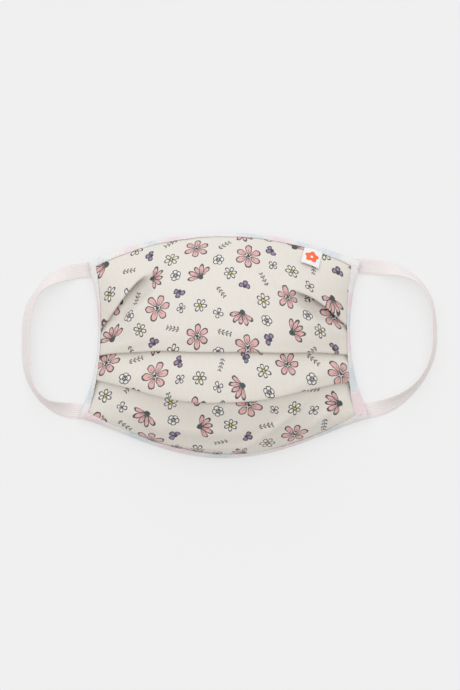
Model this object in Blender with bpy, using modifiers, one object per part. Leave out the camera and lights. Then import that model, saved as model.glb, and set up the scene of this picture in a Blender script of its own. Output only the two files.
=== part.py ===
"""Pleated cloth face mask, child's size, lying dome up with its ear loops laid out beside it.

Metres, +Z up. +X runs across the mask and +Y towards its top edge. The origin is on the surface
that the mask lies on, under the middle of its outline.

The cloth panel is described on its dome: `across` runs from -1 at the left side edge to 1 at the
right one, and `turn` from 0 at the top edge to 1 at the bottom edge. `level` is the distance from
the outermost layer of cloth, positive outwards.
"""

import math

import bpy
import numpy as np

# Panel outline, seen from above
WAIST_HALF_WIDTH = 0.0744  # middle line to a side edge, where the panel is narrowest
WAIST_AT = 0.43  # share of the way down at which that is
TOP_FLARE = 0.0055  # how much further out the top corners are
BOTTOM_FLARE = 0.0105  # how much further out the bottom corners are
TOP_PEAK = 0.0667  # middle of the top edge above the mask's middle
TOP_FALL = 0.0175  # fall of the top edge from its peak to its corners
BOTTOM_PEAK = 0.0667  # middle of the bottom edge below the mask's middle
BOTTOM_RISE = 0.0245  # rise of the bottom edge to its corners
BOTTOM_ROUND = 0.35  # how much fuller than a parabola that rise is

# Dome
DOME_HEIGHT = 0.033
DOME_FULLNESS = 2.5  # power of its fall towards the side edges
TOP_SLOPE = math.radians(55)  # of the cloth at the middle of the top edge
BOTTOM_SLOPE = math.radians(76)  # of the cloth at the middle of the bottom edge
RIM_SAG = 0.0010  # how far the middle of the top and bottom edges sinks below the corners
SIDE_LIFT = 0.0012  # how far the middle of a side edge, with its stacked layers, stands above them

# Cloth and its layers
PANEL_WALL = 0.0010
LAYER_GAP = 0.0004  # between the stacked layers of a pleat
CREASE_REACH = 0.0010  # how far a crease rounds past its fold line
RECOVERY = 0.016  # longest stretch in which a panel comes back out from under a pleat

# Pleats facing down: (depth at the middle, depth at the side edges)
PLEAT_DEPTHS = (
    (0.0035, 0.0180),
    (0.0050, 0.0100),
    (0.0020, 0.0090),
)
# Fold lines: (across, first, second, third), each a share of the way down the outline
FOLD_LINES = (
    (-1.00, 0.416, 0.593, 0.752),
    (-0.90, 0.371, 0.574, 0.751),
    (-0.75, 0.277, 0.556, 0.747),
    (-0.50, 0.150, 0.530, 0.748),
    (-0.25, 0.121, 0.524, 0.745),
    (0.00, 0.115, 0.520, 0.738),
    (0.25, 0.130, 0.525, 0.739),
    (0.50, 0.235, 0.541, 0.737),
    (0.75, 0.312, 0.556, 0.745),
    (0.90, 0.370, 0.575, 0.752),
    (1.00, 0.402, 0.588, 0.766),
)
# Dents in the dome: (across, turn, half length across, half length in turn, depth)
DENTS = (
    (-0.66, 0.26, 0.13, 0.07, 0.0012),
    (-0.30, 0.21, 0.12, 0.06, 0.0008),
    (0.42, 0.22, 0.12, 0.07, 0.0012),
    (0.30, 0.82, 0.20, 0.04, 0.0007),
    (-0.45, 0.86, 0.16, 0.04, 0.0006),
)

# Edge binding, a tape folded over the panel's edge
BINDING_WALL = 0.0010
BINDING_COVER = 0.0050  # how far it covers the panel on each face
CLEARANCE = 0.0005  # between a piece and the cloth that it lies on
BINDING_OVERRUN = 0.0019  # how far the top and bottom tapes run past the side edges

# Ear loops, flat bands of knitted tape
LOOP_WIDTH = 0.0094
LOOP_WALL = 0.0012
LOOP_TUCK = 0.0050  # how far a band's end lies under its corner, from the panel's side edge
LOOP_MIDDLE = 0.0042  # furthest point of a loop above the mask's middle
TURN_EASE = 0.0001  # how far a band's turned stretch stays off the surface
CORNER_EASE = 0.0006  # room for the corner's slope over the band under it
# Loops: (side, reach of its middle line from the mask's middle, squareness above, below)
LOOPS = (
    (-1, 0.1176, 2.75, 3.0),
    (1, 0.1262, 2.6, 2.0),
)
# Turn of a band out of flat: (share of its length, left in degrees, right in degrees)
LOOP_TURNS = (
    (0.00, 0, 0),
    (0.11, 0, 0),
    (0.20, 38, 48),
    (0.28, 70, 74),
    (0.36, 58, 76),
    (0.50, 53, 69),
    (0.64, 55, 69),
    (0.73, 70, 66),
    (0.81, 60, 48),
    (0.90, 12, 14),
    (0.93, 0, 0),
    (1.00, 0, 0),
)

# Label, a small woven tab below the top binding
LABEL_ACROSS = 0.674  # place of its middle
LABEL_WIDTH = 0.0110
LABEL_DROP = 0.0105
LABEL_LEAN = 0.0018  # how far its lower end lies nearer to the middle
LABEL_WALL = 0.0010

# Mesh fineness
STATIONS = 23  # across the panel and its tapes
SIDE_STATIONS = 16
LOOP_STATIONS = 34
FINE = 241  # samples of a curve that is measured along

LAYER_PITCH = PANEL_WALL + LAYER_GAP
TAPE_LEVEL = PANEL_WALL / 2 + CLEARANCE + BINDING_WALL / 2
CORNER_HEIGHT = LOOP_WALL + CLEARANCE + BINDING_WALL / 2 + TAPE_LEVEL + CORNER_EASE

COLOURS = {
    "cream_cloth": (0.78, 0.74, 0.64),
    "pastel_tape": (0.86, 0.77, 0.77),
    "pale_pink_knit": (0.88, 0.80, 0.79),
    "white_satin": (0.88, 0.87, 0.85),
}


def eased(share):
    """Go smoothly from 0 to 1."""
    share = np.clip(share, 0.0, 1.0)
    return share * share * (3.0 - 2.0 * share)


def through(rows, column, at):
    """Read a smooth curve through one column of a table, against its first column."""
    known = np.array([row[0] for row in rows], float)
    values = np.array([row[column] for row in rows], float)
    slopes = np.gradient(values, known)
    low = np.clip(np.searchsorted(known, at) - 1, 0, len(known) - 2)
    span = known[low + 1] - known[low]
    t = (at - known[low]) / span
    return (
        (2 * t**3 - 3 * t**2 + 1) * values[low]
        + (t**3 - 2 * t**2 + t) * span * slopes[low]
        + (3 * t**2 - 2 * t**3) * values[low + 1]
        + (t**3 - t**2) * span * slopes[low + 1]
    )


def half_width(down):
    """Middle line to side edge, `down` being the share of the way from top to bottom edge."""
    above = np.clip(WAIST_AT - down, 0.0, None) / WAIST_AT
    below = np.clip(down - WAIST_AT, 0.0, None) / (1.0 - WAIST_AT)
    return WAIST_HALF_WIDTH + TOP_FLARE * above**2 + BOTTOM_FLARE * below**2


def edge_heights(across):
    """Places of the top and the bottom edge along Y."""
    top = TOP_PEAK - TOP_FALL * across**2
    fuller = BOTTOM_ROUND * (across**2 - across**4)
    bottom = -BOTTOM_PEAK + BOTTOM_RISE * (across**2 + fuller)
    return top, bottom


def way_down(turn):
    """Share of the way down the outline, from control points that give the edges' slopes."""
    crown = DOME_HEIGHT / 0.75
    length = TOP_PEAK + BOTTOM_PEAK
    first = crown / math.tan(TOP_SLOPE) / length
    second = 1.0 - crown / math.tan(BOTTOM_SLOPE) / length
    rest = 1.0 - turn
    return 3 * rest**2 * turn * first + 3 * rest * turn**2 * second + turn**3


def dome(across, turn):
    """Points of the outermost layer, a cubic section whose height falls towards the sides."""
    across, turn = np.broadcast_arrays(np.asarray(across, float), np.asarray(turn, float))
    down = way_down(turn)
    top, bottom = edge_heights(across)
    x = across * half_width(down)
    y = top + (bottom - top) * down
    crown = DOME_HEIGHT / 0.75 * (1.0 - np.abs(across) ** DOME_FULLNESS)
    z = CORNER_HEIGHT + 3 * turn * (1.0 - turn) * crown
    z = z - RIM_SAG * (1.0 - across**2) + SIDE_LIFT * across**4 * np.sin(np.pi * turn)
    for at_across, at_turn, long, high, depth in DENTS:
        spread = ((across - at_across) / long) ** 2 + ((turn - at_turn) / high) ** 2
        z = z - depth * np.exp(-spread)
    return np.stack((x, y, z), axis=-1)


def unit(vectors):
    """Give the vectors a length of one."""
    return vectors / np.linalg.norm(vectors, axis=-1, keepdims=True)


def frame_on_dome(across, turn):
    """Points, unit directions down the cloth and to the right, and outward normals."""
    step = 0.0005
    down = unit(dome(across, turn + step) - dome(across, turn - step))
    right = unit(dome(across + step, turn) - dome(across - step, turn))
    return dome(across, turn), down, right, unit(np.cross(down, right))


def lay_down(across, arc, level):
    """Points at distances `arc` down the cloth from the top edge, at one place across."""
    turns = np.linspace(0.0, 1.0, FINE)
    arcs = arcs_of(dome(across, turns))
    held = np.clip(arc, 0.0, arcs[-1])
    point, down, _, normal = frame_on_dome(across, np.interp(held, arcs, turns))
    return point + down * (arc - held)[:, None] + normal * level[:, None]


def lay_in(side, turn, inward, level):
    """Points at distances `inward` from a side edge, at one place down it."""
    places = side * np.linspace(1.0, 0.8, FINE)
    arcs = arcs_of(dome(places, turn))
    held = np.clip(inward, 0.0, arcs[-1])
    point, _, right, normal = frame_on_dome(np.interp(held, arcs, places), turn)
    return point - side * right * (inward - held)[:, None] + normal * level[:, None]


def arcs_of(points):
    """Distances along a line of points."""
    return np.concatenate([[0.0], np.cumsum(np.linalg.norm(np.diff(points, axis=0), axis=1))])


def folds_at(across):
    """Distances down the cloth's outer face of the folds and the bottom edge, and the depths."""
    turns = np.linspace(0.0, 1.0, FINE)
    arcs = arcs_of(dome(across, turns))
    shares = [through(FOLD_LINES, column, across) for column in (1, 2, 3)]
    folds = np.interp(np.interp(shares, way_down(turns), turns), turns, arcs)
    weight = abs(across) ** 1.8
    depths = [middle + (side - middle) * weight for middle, side in PLEAT_DEPTHS]
    return folds, arcs[-1], depths


def crease(arc, level, way):
    """Half round from one layer to the next one in, bulging down the cloth (1) or up it (-1)."""
    angle = np.radians([60.0, 0.0, -60.0])
    half = LAYER_PITCH / 2
    arcs = arc + way * CREASE_REACH * np.cos(angle)
    return np.stack((arcs, level - half + half * np.sin(angle)), axis=1)


def straight(start, end, count):
    """Points of a layer from one (arc, level) to another, rising smoothly between."""
    share = np.linspace(0.0, 1.0, count)
    arcs = start[0] + (end[0] - start[0]) * share
    return np.stack((arcs, start[1] + (end[1] - start[1]) * eased(share)), axis=1)


def cloth_path(across):
    """The folded cloth's (arc, level) from the top edge to the bottom one."""
    folds, bottom, depths = folds_at(across)
    pieces = [straight((0.0, 0.0), (BINDING_COVER, 0.0), 3)[:-1]]
    start = BINDING_COVER
    for number, (fold, depth) in enumerate(zip(folds, depths)):
        inner = fold - depth
        pieces.append(straight((start, 0.0), (fold, 0.0), 4 if number else 6))
        pieces.append(crease(fold, 0.0, 1))
        pieces.append(straight((fold, -LAYER_PITCH), (inner, -LAYER_PITCH), 3))
        pieces.append(crease(inner, -LAYER_PITCH, -1))
        rise = fold + CREASE_REACH
        pieces.append(straight((inner, -2 * LAYER_PITCH), (rise, -2 * LAYER_PITCH), 3)[:-1])
        if number + 1 < len(depths):
            limit = folds[number + 1] - depths[number + 1] - CREASE_REACH
        else:
            limit = bottom - 2 * BINDING_COVER
        start = min(rise + RECOVERY, limit)
        pieces.append(straight((rise, -2 * LAYER_PITCH), (start, 0.0), 5)[:-1])
    covered = bottom - BINDING_COVER
    pieces.append(straight((start, 0.0), (covered, 0.0), 5)[:-1])
    pieces.append(straight((covered, 0.0), (bottom, 0.0), 3))
    return np.concatenate(pieces)


def tape_path(depth):
    """Folded tape's (distance in from the edge, level) round cloth of that depth."""
    inner = -depth - TAPE_LEVEL
    middle = (TAPE_LEVEL + inner) / 2
    half = (TAPE_LEVEL - inner) / 2
    angle = np.radians([90, 54, 18, -18, -54, -90])
    reach = BINDING_OVERRUN - BINDING_WALL / 2
    bend = np.stack((-reach * np.cos(angle), middle + half * np.sin(angle)), axis=1)
    outer_leg = [(BINDING_COVER, TAPE_LEVEL), (BINDING_COVER / 2, TAPE_LEVEL)]
    inner_leg = [(BINDING_COVER / 2, inner), (BINDING_COVER, inner)]
    return np.concatenate([outer_leg, bend, inner_leg])


def stack_depth(arc):
    """Depth of the stacked layers at a side edge, with room for the folds' slant beside it."""
    folds, bottom, depths = folds_at(1.0)
    first = folds[0] - depths[0] - CREASE_REACH
    begin = eased((arc - first + 0.010) / 0.005)
    last = folds[2] + 3 * CREASE_REACH
    end = 1.0 - eased((arc - last) / (bottom - 2 * BINDING_COVER - last))
    return 2 * LAYER_PITCH * np.minimum(begin, end)


def spread_out(count):
    """Places across the panel, closer together towards its side edges."""
    even = np.linspace(-1.0, 1.0, count)
    return 0.35 * even + 0.65 * np.sin(even * math.pi / 2)


def panel_grid():
    """The whole folded panel."""
    rows = []
    for across in spread_out(STATIONS):
        path = cloth_path(across)
        rows.append(lay_down(across, path[:, 0], path[:, 1]))
    return np.array(rows)


def edge_binding_grid(at_top):
    """Tape over the top or the bottom edge, running past both side edges."""
    path = tape_path(0.0)
    rows = []
    for across in spread_out(STATIONS):
        bottom = arcs_of(dome(across, np.linspace(0.0, 1.0, FINE)))[-1]
        arc = path[:, 0] if at_top else bottom - path[:, 0]
        rows.append(lay_down(across, arc, path[:, 1]))
    first = rows[0] + BINDING_OVERRUN * unit(rows[0] - rows[1])
    last = rows[-1] + BINDING_OVERRUN * unit(rows[-1] - rows[-2])
    return np.array([first] + rows + [last])


def side_binding_grid(side):
    """Tape over a side edge, between the top and the bottom tapes."""
    turns = np.linspace(0.0, 1.0, FINE)
    arcs = arcs_of(dome(side, turns))
    inset = BINDING_COVER + CLEARANCE
    rows = []
    for arc in np.linspace(inset, arcs[-1] - inset, SIDE_STATIONS):
        path = tape_path(stack_depth(arc))
        rows.append(lay_in(side, np.interp(arc, arcs, turns), path[:, 0], path[:, 1]))
    return np.array(rows)


def loop_line(side, reach, square_above, square_below):
    """Middle line of a loop seen from above, two quarter superellipses from root to root."""
    top, bottom = edge_heights(1.0)
    flush = BINDING_OVERRUN - LOOP_WIDTH / 2
    quarter = np.linspace(0.0, math.pi / 2, FINE)
    halves = []
    for height, down, square in ((top + flush, 0.0, square_above), (bottom - flush, 1.0, square_below)):
        root = half_width(np.array(down)) - LOOP_TUCK
        out = root + (reach - root) * np.sin(quarter) ** (2 / square)
        up = LOOP_MIDDLE + (height - LOOP_MIDDLE) * np.cos(quarter) ** (2 / square)
        halves.append(np.stack((side * out, up), axis=1))
    return np.concatenate([halves[0], halves[1][-2::-1]])


def loop_grid(number):
    """A flat band that lies flat at its ends and stands on its outer edge between them."""
    side = LOOPS[number][0]
    line = loop_line(*LOOPS[number])
    arcs = arcs_of(line)
    share = np.linspace(0.0, 1.0, LOOP_STATIONS)
    place = np.stack([np.interp(share * arcs[-1], arcs, line[:, axis]) for axis in (0, 1)], axis=1)
    heading = unit(np.gradient(place, axis=0))
    outward = side * np.stack((-heading[:, 1], heading[:, 0]), axis=1)
    turn = np.radians(np.interp(share, *np.array(LOOP_TURNS, float).T[[0, number + 1]]))
    rise = (LOOP_WIDTH / 2 + TURN_EASE) * np.sin(turn) + LOOP_WALL / 2 * np.cos(turn)
    rows = []
    for offset in (-LOOP_WIDTH / 2, 0.0, LOOP_WIDTH / 2):
        flat = place + outward * (offset * np.cos(turn))[:, None]
        rows.append(np.column_stack((flat, rise - offset * np.sin(turn))))
    return np.array(rows)


def label_grid():
    """A tab that lies on the panel, its top end at the top tape."""
    level = np.array([PANEL_WALL / 2 + CLEARANCE + LABEL_WALL / 2])
    corner = float(half_width(np.array(0.0)))
    rows = []
    for sideways in np.linspace(-LABEL_WIDTH / 2, LABEL_WIDTH / 2, 5):
        row = []
        for share in np.linspace(0.0, 1.0, 5):
            across = LABEL_ACROSS + (sideways - LABEL_LEAN * share) / corner
            arc = np.array([BINDING_COVER + CLEARANCE + LABEL_DROP * share])
            row.append(lay_down(across, arc, level)[0])
        rows.append(row)
    return np.array(rows)


def material(name):
    """A plain cloth material."""
    new = bpy.data.materials.new(name)
    new.use_nodes = True
    shader = new.node_tree.nodes["Principled BSDF"]
    shader.inputs["Base Color"].default_value = (*COLOURS[name], 1.0)
    shader.inputs["Roughness"].default_value = 0.9
    shader.inputs["Metallic"].default_value = 0.0
    return new


def sheet(name, grid, wall, look, collection, parent):
    """Make a grid of points into a piece of cloth of the given thickness."""
    rows, columns, _ = grid.shape
    index = np.arange(rows * columns).reshape(rows, columns)
    corners = (index[:-1, :-1], index[1:, :-1], index[1:, 1:], index[:-1, 1:])
    faces = np.stack(corners, axis=-1).reshape(-1, 4)
    mesh = bpy.data.meshes.new(name)
    mesh.from_pydata(grid.reshape(-1, 3).tolist(), [], faces.tolist())
    mesh.materials.append(look)
    mesh.shade_smooth()
    piece = bpy.data.objects.new(name, mesh)
    collection.objects.link(piece)
    piece.parent = parent
    thick = piece.modifiers.new("Cloth", "SOLIDIFY")
    thick.thickness = wall
    thick.offset = 0.0
    thick.use_even_offset = True
    return piece


def centre_on_origin(pieces, parent):
    """Move the parent so that the origin is under the middle of the outline."""
    bpy.context.view_layer.update()
    depsgraph = bpy.context.evaluated_depsgraph_get()
    corners = np.array([corner for piece in pieces for corner in piece.evaluated_get(depsgraph).bound_box])
    middle = (corners.min(axis=0) + corners.max(axis=0)) / 2
    parent.location = (-middle[0], -middle[1], -corners[:, 2].min())


def main():
    for old in list(bpy.data.objects):
        bpy.data.objects.remove(old, do_unlink=True)
    collection = bpy.data.collections.new("cloth_face_mask")
    bpy.context.scene.collection.children.link(collection)
    parent = bpy.data.objects.new("mask_origin", None)
    collection.objects.link(parent)
    looks = {name: material(name) for name in COLOURS}
    cream, pastel = looks["cream_cloth"], looks["pastel_tape"]
    knit, satin = looks["pale_pink_knit"], looks["white_satin"]
    plan = (
        ("face_panel", panel_grid(), PANEL_WALL, cream),
        ("top_binding", edge_binding_grid(True), BINDING_WALL, pastel),
        ("bottom_binding", edge_binding_grid(False), BINDING_WALL, pastel),
        ("left_binding", side_binding_grid(-1), BINDING_WALL, pastel),
        ("right_binding", side_binding_grid(1), BINDING_WALL, pastel),
        ("left_ear_loop", loop_grid(0), LOOP_WALL, knit),
        ("right_ear_loop", loop_grid(1), LOOP_WALL, knit),
        ("label_tab", label_grid(), LABEL_WALL, satin),
    )
    pieces = [sheet(*row, collection, parent) for row in plan]
    centre_on_origin(pieces, parent)


if __name__ == "__main__":
    main()
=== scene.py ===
import math
from functools import reduce

import bpy
import numpy as np
from bpy.props import FloatProperty, FloatVectorProperty, PointerProperty
from bpy.types import Operator, Panel, PropertyGroup
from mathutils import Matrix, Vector


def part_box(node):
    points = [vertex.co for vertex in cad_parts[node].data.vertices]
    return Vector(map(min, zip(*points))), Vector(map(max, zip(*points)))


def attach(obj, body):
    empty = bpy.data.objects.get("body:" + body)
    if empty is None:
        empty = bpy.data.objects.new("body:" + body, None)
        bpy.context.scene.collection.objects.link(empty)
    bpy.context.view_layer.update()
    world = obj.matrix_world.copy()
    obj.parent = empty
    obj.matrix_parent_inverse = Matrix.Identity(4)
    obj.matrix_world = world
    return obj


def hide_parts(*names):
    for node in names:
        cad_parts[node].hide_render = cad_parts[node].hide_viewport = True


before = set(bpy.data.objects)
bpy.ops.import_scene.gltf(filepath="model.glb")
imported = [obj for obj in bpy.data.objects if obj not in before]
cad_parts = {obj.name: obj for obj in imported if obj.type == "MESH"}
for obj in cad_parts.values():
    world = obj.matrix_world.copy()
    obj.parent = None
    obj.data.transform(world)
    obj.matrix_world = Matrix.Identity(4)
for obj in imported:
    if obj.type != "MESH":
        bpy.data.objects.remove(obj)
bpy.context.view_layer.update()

bl_info = {
    "name": "Pleated Cloth Face Mask",
    "version": (1, 0, 0),
    "blender": (4, 5, 0),
    "location": "View3D > Sidebar > Face Mask",
    "description": "Sews a pleated cloth mask with taped edges and soft ear loops over its solid model",
    "category": "Object",
}

# Cut of the panel, as in the solid model
WAIST_HALF_WIDTH = 0.0744
WAIST_AT = 0.43
TOP_FLARE = 0.0055
BOTTOM_FLARE = 0.0105
TOP_PEAK = 0.0667
TOP_FALL = 0.0175
BOTTOM_PEAK = 0.0667
BOTTOM_RISE = 0.0245
BOTTOM_ROUND = 0.35
DOME_HEIGHT = 0.033
DOME_FULLNESS = 2.5
TOP_SLOPE = math.radians(55)
BOTTOM_SLOPE = math.radians(76)
CORNER_HEIGHT = 0.0043
RIM_SAG = 0.0010
SIDE_LIFT = 0.0012
# Factor of the section 3 t (1 - t), which peaks at 0.75
CROWN = DOME_HEIGHT / 0.75
# Dents of the dome: place across and down, length across and down, depth
DENTS = (
    (-0.66, 0.26, 0.13, 0.07, 0.0012),
    (-0.30, 0.21, 0.12, 0.06, 0.0008),
    (0.42, 0.22, 0.12, 0.07, 0.0012),
    (0.30, 0.82, 0.20, 0.04, 0.0007),
    (-0.45, 0.86, 0.16, 0.04, 0.0006),
)
PANEL_LOW, PANEL_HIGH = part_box("face_panel")
SHIFT = (PANEL_LOW[0] + PANEL_HIGH[0]) / 2

# Folds: place across, then the share of the way down of each
FOLD_LINES = (
    (-1.00, 0.416, 0.593, 0.752),
    (-0.90, 0.330, 0.574, 0.751),
    (-0.75, 0.218, 0.556, 0.747),
    (-0.50, 0.135, 0.530, 0.748),
    (-0.25, 0.121, 0.524, 0.745),
    (0.00, 0.115, 0.520, 0.738),
    (0.25, 0.130, 0.525, 0.739),
    (0.50, 0.235, 0.541, 0.737),
    (0.75, 0.278, 0.556, 0.745),
    (0.90, 0.346, 0.575, 0.752),
    (1.00, 0.402, 0.588, 0.766),
)
# Pleats from the top: depth folded under in the middle and at the sides
PLEAT_DEPTHS = ((0.0035, 0.0180), (0.0050, 0.0100), (0.0020, 0.0090))
# Columns down to each fold, length of cloth that comes up again below it, sink there, roll of the fold's edge
PLEAT_COLUMNS = (18, 26, 18)
PLEAT_RETURNS = (0.019, 0.016, 0.027)
PLEAT_SINKS = (0.0, 0.0007, 0.0005)
PLEAT_ROLLS = (0.0, 0.0008, 0.0003)
# Reach of a roll above and below its fold
ROLL_ABOVE = 0.0050
ROLL_BELOW = 0.0130
FOLD_REST = 0.001
# The first pleat's fold to the left and right: tucked from, open by, flat by
FIRST_PLEAT_OPENS = ((0.80, 0.58, 0.38), (0.76, 0.52, 0.34))
# Dip of the cloth where the first pleat opens: depth, place across, width
FIRST_DIP = (0.0038, 0.72, 0.16)
OPEN_GAP = 0.002
# Columns of the first pleat in the folded path, and how much print it hides at the side edges
FIRST_PLEAT = (21, 52)
PRINT_HIDDEN = 0.013
FLAT_HALF_WIDTH = 0.0815

# Soft ridges in the cloth: place across, share down the flat cloth, turn in degrees, length, width, height
RIDGES = (
    (0.00, 0.700, 0, 0.060, 0.0110, 0.0030),
    (-0.62, 0.30, 48, 0.020, 0.0042, 0.0011),
    (-0.80, 0.52, 25, 0.014, 0.0035, 0.0007),
    (0.62, 0.34, -35, 0.020, 0.0042, 0.0010),
    (0.78, 0.30, -38, 0.016, 0.0030, 0.0007),
    (-0.05, 0.91, 6, 0.022, 0.0024, 0.0013),
    (0.36, 0.84, 32, 0.022, 0.0028, 0.0020),
    (-0.52, 0.87, -18, 0.018, 0.0028, 0.0013),
    (0.72, 0.88, 24, 0.014, 0.0024, 0.0012),
    (-0.20, 0.84, 3, 0.030, 0.0030, 0.0010),
    (0.10, 0.45, 4, 0.030, 0.0060, 0.0005),
    (-0.30, 0.70, -6, 0.026, 0.0040, 0.0005),
    (0.55, 0.68, 10, 0.022, 0.0040, 0.0005),
)
# Half width and length of cloth on which the ridges are placed
RIDGE_FIELD = (0.0800, 0.1700)
# Slow waves of the cloth: waves across its width, waves down its length, phase, height
WAVES = (
    (2.3, 1.1, 0.4, 0.00022),
    (-3.1, 2.4, 1.9, 0.00018),
    (4.6, -1.7, 3.3, 0.00012),
    (1.4, 4.3, 5.1, 0.00014),
)
GATHER_HEIGHT = 0.00030
GATHER_REACH = 0.13

# Ear loops to the left and right: side, reach, squareness above and below, lift of the upper root
LOOPS = ((-1, 0.1190, 2.60, 3.0, -0.0007), (1, 0.1262, 3.1, 2.0, 0.0015))
LOOP_TUCK = 0.0050
LOOP_MIDDLE = 0.0042
LOOP_HALF_WIDTH = 0.0047
# Turn of the bands on edge: share of the way round, degrees to the left, degrees to the right
LOOP_TURNS = (
    (0.00, 0, 0),
    (0.11, 0, 0),
    (0.20, 38, 48),
    (0.28, 70, 74),
    (0.36, 58, 76),
    (0.50, 53, 69),
    (0.64, 55, 69),
    (0.73, 70, 66),
    (0.81, 60, 48),
    (0.90, 12, 14),
    (0.93, 0, 0),
    (1.00, 0, 0),
)
# Hollow of the bands to the left and right: depth, share of the way round, length
LOOP_CUPS = ((0.0011, 0.84, 0.07), (0.0022, 0.80, 0.09))
LOOP_ROOT = 0.085

TAPE_OVERRUN = 0.0019
TAPE_PUFF = 0.00018
TAPE_BACK = 0.003
# How far the tape covers the cloth's face. Side tapes: share of the way along, left one, right one
SIDE_COVERS = (
    (0.00, 0.0026, 0.0034),
    (0.20, 0.0018, 0.0026),
    (0.45, 0.0012, 0.0016),
    (0.65, 0.0016, 0.0030),
    (0.85, 0.0026, 0.0058),
    (1.00, 0.0030, 0.0066),
)
EDGE_COVER = 0.0030
# Bottom tape: place across, cover
BOTTOM_COVERS = ((-1.0, 0.0030), (-0.7, 0.0050), (-0.2, 0.0075), (0.2, 0.0060), (0.6, 0.0036), (1.0, 0.0030))

# Dyed patches of the tape: place, radius
PINK_PATCHES = (
    (-0.060, 0.056, 0.007),
    (-0.035, 0.064, 0.008),
    (0.030, 0.063, 0.008),
    (0.072, 0.026, 0.006),
    (0.071, 0.004, 0.006),
    (0.078, -0.035, 0.009),
    (-0.032, -0.062, 0.012),
    (-0.082, -0.046, 0.007),
    (-0.078, 0.018, 0.006),
    (0.036, -0.058, 0.009),
)
BLUE_PATCHES = (
    (-0.076, 0.047, 0.005),
    (-0.048, 0.062, 0.005),
    (0.012, 0.067, 0.006),
    (0.044, 0.060, 0.006),
    (0.060, 0.054, 0.007),
    (0.070, 0.040, 0.004),
    (0.070, 0.015, 0.005),
    (0.072, -0.018, 0.009),
    (-0.010, -0.067, 0.008),
    (-0.055, -0.056, 0.007),
    (-0.082, -0.030, 0.006),
    (0.060, -0.051, 0.006),
)
# Olive tacks: place, turn in degrees
TACKS = ((-0.0760, 0.0472, 40), (-0.0765, -0.0425, 75), (0.0716, 0.0470, -30))
TACK_HALF = 0.00085
TACK_PITCH = 0.00042
STITCH_RADIUS = 0.00013
STITCH_DIP = 0.0003
# A stitch reaches this share of the spacing to each side of its middle
STITCH_REACH = 0.36
# Seams: length and reach of the long ones, room at the ends of the short ones, place in from the tape's rim
SEAM_LENGTH = 0.150
SEAM_REACH = 0.985
SEAM_END = 0.004
EDGE_INSET = 0.0009
SIDE_INSET = 0.0007
# Room left between parts that touch
HAIR = 0.0001

# The tab: place across, slant, distance down to its sewn end, length past what shows, lift of its free end
LABEL_AT = 0.674
LABEL_SLANT = 0.0018
LABEL_START = EDGE_COVER - 0.0006
LABEL_TUCK = 0.0026
LABEL_CURL = 0.0009
LABEL_WALL = 0.0004
LABEL_GRID = 25

# Printed motifs: petals, number of the centre's colour in HEARTS, fan's share of a turn, petal half width and
# centre radius as shares of the radius, ink line, radius, dye
MOTIFS = {
    "anemone": (6, 0, 1.00, 0.235, 0.085, 0.00027, 0.0080, "petal_pink"),
    "bell": (5, 2, 0.46, 0.150, 0.170, 0.00027, 0.0084, "petal_pink"),
    "daisy": (6, 1, 1.00, 0.240, 0.360, 0.00024, 0.0044, "petal_white"),
    "clover": (4, 0, 1.00, 0.330, 0.080, 0.00024, 0.0030, "petal_white"),
    "berries": (3, 0, 0.66, 0.360, 0.230, 0.00034, 0.0037, "berry_purple"),
    "rose": (5, 3, 1.00, 0.400, 0.400, 0.00024, 0.0036, "petal_white"),
    "sprig": (0, 0, 1.00, 0.300, 0.000, 0.00026, 0.0046, "petal_white"),
}
HEARTS = ("ink", "heart_yellow", "cap_green", "petal_white")
# The print's repeat, half dropped from one column to the next: place across, place down, motif, turn, size
REPEAT = 0.058
REPEAT_CHART = (
    (0.0151, 0.0191, "anemone", 240, 1.04),
    (0.0433, 0.0048, "bell", 280, 1.00),
    (0.0409, 0.0412, "anemone", 220, 0.94),
    (0.0116, 0.0565, "bell", 100, 0.98),
    (0.0039, 0.0319, "daisy", 200, 0.94),
    (0.0428, 0.0230, "daisy", 140, 0.94),
    (0.0251, 0.0471, "daisy", 50, 1.01),
    (0.0306, 0.0226, "clover", 350, 0.96),
    (0.0543, 0.0285, "clover", 100, 1.06),
    (0.0296, 0.0118, "berries", 150, 1.05),
    (0.0130, 0.0402, "berries", 280, 0.98),
    (0.0544, 0.0516, "rose", 300, 0.99),
    (0.0274, 0.0009, "rose", 230, 0.94),
    (0.0251, 0.0335, "sprig", 240, 1.00),
    (0.0003, 0.0111, "sprig", 320, 1.04),
    (0.0562, 0.0155, "sprig", 90, 0.94),
)
# Added turn in degrees from one repeat to the next, across and down
REPEAT_TURNS = (37, 53)

STATIONS = 221
FINE = 241
TURNS = np.linspace(0.0, 1.0, FINE)

TABLE_REACH = 8.0
TABLE_LEVEL = -0.00005
LAMP_PLACE = (-0.12, 0.66, 1.00)
LAMP_ANGLE = math.radians(80)


def eased(share):
    """Go smoothly from 0 to 1 as 3 s^2 - 2 s^3."""
    share = np.clip(share, 0.0, 1.0)
    return share * share * (3.0 - 2.0 * share)


def through(rows, column, at):
    """Read a Hermite curve through one column of a table, with the table's own slopes."""
    known = np.array([row[0] for row in rows], float)
    values = np.array([row[column] for row in rows], float)
    slopes = np.gradient(values, known)
    low = np.clip(np.searchsorted(known, at) - 1, 0, len(known) - 2)
    span = known[low + 1] - known[low]
    t = (at - known[low]) / span
    return (
        (2 * t**3 - 3 * t**2 + 1) * values[low]
        + (t**3 - 2 * t**2 + t) * span * slopes[low]
        + (3 * t**2 - 2 * t**3) * values[low + 1]
        + (t**3 - t**2) * span * slopes[low + 1]
    )


def unit(vectors):
    """Divide each vector by its length."""
    return vectors / np.maximum(np.linalg.norm(vectors, axis=-1, keepdims=True), 1e-12)


def turn_of(degrees):
    """Cosine and sine of an angle in degrees."""
    return math.cos(math.radians(degrees)), math.sin(math.radians(degrees))


def bell(distance, width):
    """Falls from 1 as the exponential of minus the square of distance over width."""
    return np.exp(-((distance / width) ** 2))


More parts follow.
